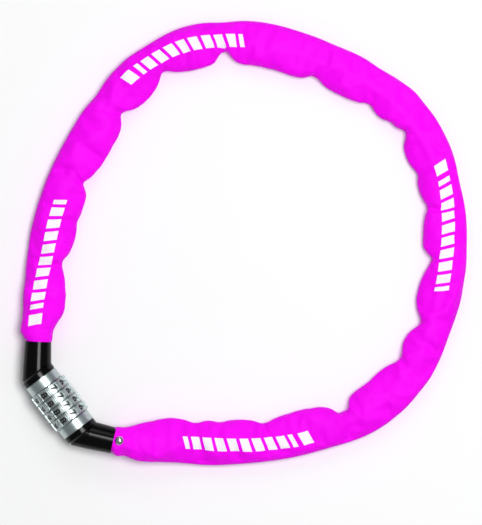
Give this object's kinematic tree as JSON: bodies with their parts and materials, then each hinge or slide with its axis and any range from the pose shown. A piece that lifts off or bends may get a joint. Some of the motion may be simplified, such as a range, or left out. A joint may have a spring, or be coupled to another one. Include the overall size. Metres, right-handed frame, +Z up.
{
  "type": "chain lock",
  "caption": "Bicycle combination chain lock: a dial barrel between two elbows closes a loop of chain in a gathered fabric sleeve.",
  "frame": {"origin": "under the middle of the whole lock, on the surface it lies on", "axes": "+X along the barrel from the plug end to the anchored end, +Y from the barrel across the loop, +Z up"},
  "size_m": [0.3802, 0.417, 0.0356],
  "materials": {
    "dial_metal": "satin nickel plate",
    "ring_metal": "satin nickel plate",
    "works_steel": "machined",
    "code_brass": "machined",
    "elbow_plastic": "gloss black",
    "chain_steel": "zinc plate",
    "sleeve_fabric": "shiny woven nylon",
    "rivet_metal": "polished"
  },
  "bodies": {
    "lock_body": {"core_tube": "works_steel", "click_spring": "works_steel", "plug_end_ring": "ring_metal", "body_end_ring": "ring_metal", "body_elbow": "elbow_plastic", "body_anchor": "works_steel", "body_chain_pin": "works_steel", "sleeve_rivet": "rivet_metal", "chain_1": "chain_steel", "sleeve_1": "sleeve_fabric"},
    "dial_1": {"dial_1": "dial_metal", "code_ring_1": "code_brass"},
    "dial_2": {"dial_2": "dial_metal", "code_ring_2": "code_brass"},
    "dial_3": {"dial_3": "dial_metal", "code_ring_3": "code_brass"},
    "dial_4": {"dial_4": "dial_metal", "code_ring_4": "code_brass"},
    "plug": {"plug_pin": "works_steel", "plug_holder": "works_steel", "plug_elbow": "elbow_plastic", "plug_chain_pin": "works_steel", "chain_10": "chain_steel", "sleeve_10": "sleeve_fabric"},
    "span_2": {"chain_2": "chain_steel", "sleeve_2": "sleeve_fabric"},
    "span_3": {"chain_3": "chain_steel", "sleeve_3": "sleeve_fabric"},
    "span_4": {"chain_4": "chain_steel", "sleeve_4": "sleeve_fabric"},
    "span_5": {"chain_5": "chain_steel", "sleeve_5": "sleeve_fabric"},
    "span_6": {"chain_6": "chain_steel", "sleeve_6": "sleeve_fabric"},
    "span_7": {"chain_7": "chain_steel", "sleeve_7": "sleeve_fabric"},
    "span_8": {"chain_8": "chain_steel", "sleeve_8": "sleeve_fabric"},
    "span_9": {"chain_9": "chain_steel", "sleeve_9": "sleeve_fabric"}
  },
  "joints": [
    {"name": "dial_1_turn", "type": "hinge", "parent": "lock_body", "child": "dial_1", "pos_m": [-0.00537, -0.19094, 0.0178], "axis": [1, 0, 0], "continuous": true},
    {"name": "dial_2_turn", "type": "hinge", "parent": "lock_body", "child": "dial_2", "pos_m": [0.00343, -0.19094, 0.0178], "axis": [1, 0, 0], "continuous": true},
    {"name": "dial_3_turn", "type": "hinge", "parent": "lock_body", "child": "dial_3", "pos_m": [0.01223, -0.19094, 0.0178], "axis": [1, 0, 0], "continuous": true},
    {"name": "dial_4_turn", "type": "hinge", "parent": "lock_body", "child": "dial_4", "pos_m": [0.02103, -0.19094, 0.0178], "axis": [1, 0, 0], "continuous": true},
    {"name": "plug_pull", "type": "slide", "parent": "lock_body", "child": "plug", "axis": [-1, 0, 0], "range_m": [0, 0.052]},
    {"name": "chain_bend_2", "type": "hinge", "parent": "lock_body", "child": "span_2", "pos_m": [0.08462, -0.1428, 0.0085], "axis": [0, 0, 1], "range_deg": [0, 3.93]},
    {"name": "chain_bend_3", "type": "hinge", "parent": "span_2", "child": "span_3", "pos_m": [0.15349, -0.04236, 0.0085], "axis": [0, 0, 1], "range_deg": [0, 2.18]},
    {"name": "chain_bend_4", "type": "hinge", "parent": "span_3", "child": "span_4", "pos_m": [0.15998, 0.07524, 0.0085], "axis": [0, 0, 1], "range_deg": [-1.27, 0]},
    {"name": "chain_bend_5", "type": "hinge", "parent": "span_4", "child": "span_5", "pos_m": [0.09589, 0.15346, 0.0085], "axis": [0, 0, 1], "range_deg": [-4.84, 0]},
    {"name": "chain_bend_9", "type": "hinge", "parent": "plug", "child": "span_9", "pos_m": [-0.07335, -0.14669, 0.0085], "axis": [0, 0, 1], "range_deg": [-3.04, 0]},
    {"name": "chain_bend_8", "type": "hinge", "parent": "span_9", "child": "span_8", "pos_m": [-0.14772, -0.05066, 0.0085], "axis": [0, 0, 1], "range_deg": [-3.11, 0]},
    {"name": "chain_bend_7", "type": "hinge", "parent": "span_8", "child": "span_7", "pos_m": [-0.16909, 0.06741, 0.0085], "axis": [0, 0, 1], "range_deg": [0, 0.18]},
    {"name": "chain_bend_6", "type": "hinge", "parent": "span_7", "child": "span_6", "pos_m": [-0.10926, 0.14713, 0.0085], "axis": [0, 0, 1], "range_deg": [0, 5.96]}
  ],
  "couplings": [
    {"joint": "chain_bend_2", "follows": "plug_pull", "rad_per_m": 1.3172},
    {"joint": "chain_bend_3", "follows": "plug_pull", "rad_per_m": 0.73},
    {"joint": "chain_bend_4", "follows": "plug_pull", "rad_per_m": -0.4243},
    {"joint": "chain_bend_5", "follows": "plug_pull", "rad_per_m": -1.6229},
    {"joint": "chain_bend_9", "follows": "plug_pull", "rad_per_m": -1.017},
    {"joint": "chain_bend_8", "follows": "plug_pull", "rad_per_m": -1.041},
    {"joint": "chain_bend_7", "follows": "plug_pull", "rad_per_m": 0.059},
    {"joint": "chain_bend_6", "follows": "plug_pull", "rad_per_m": 1.9989}
  ]
}
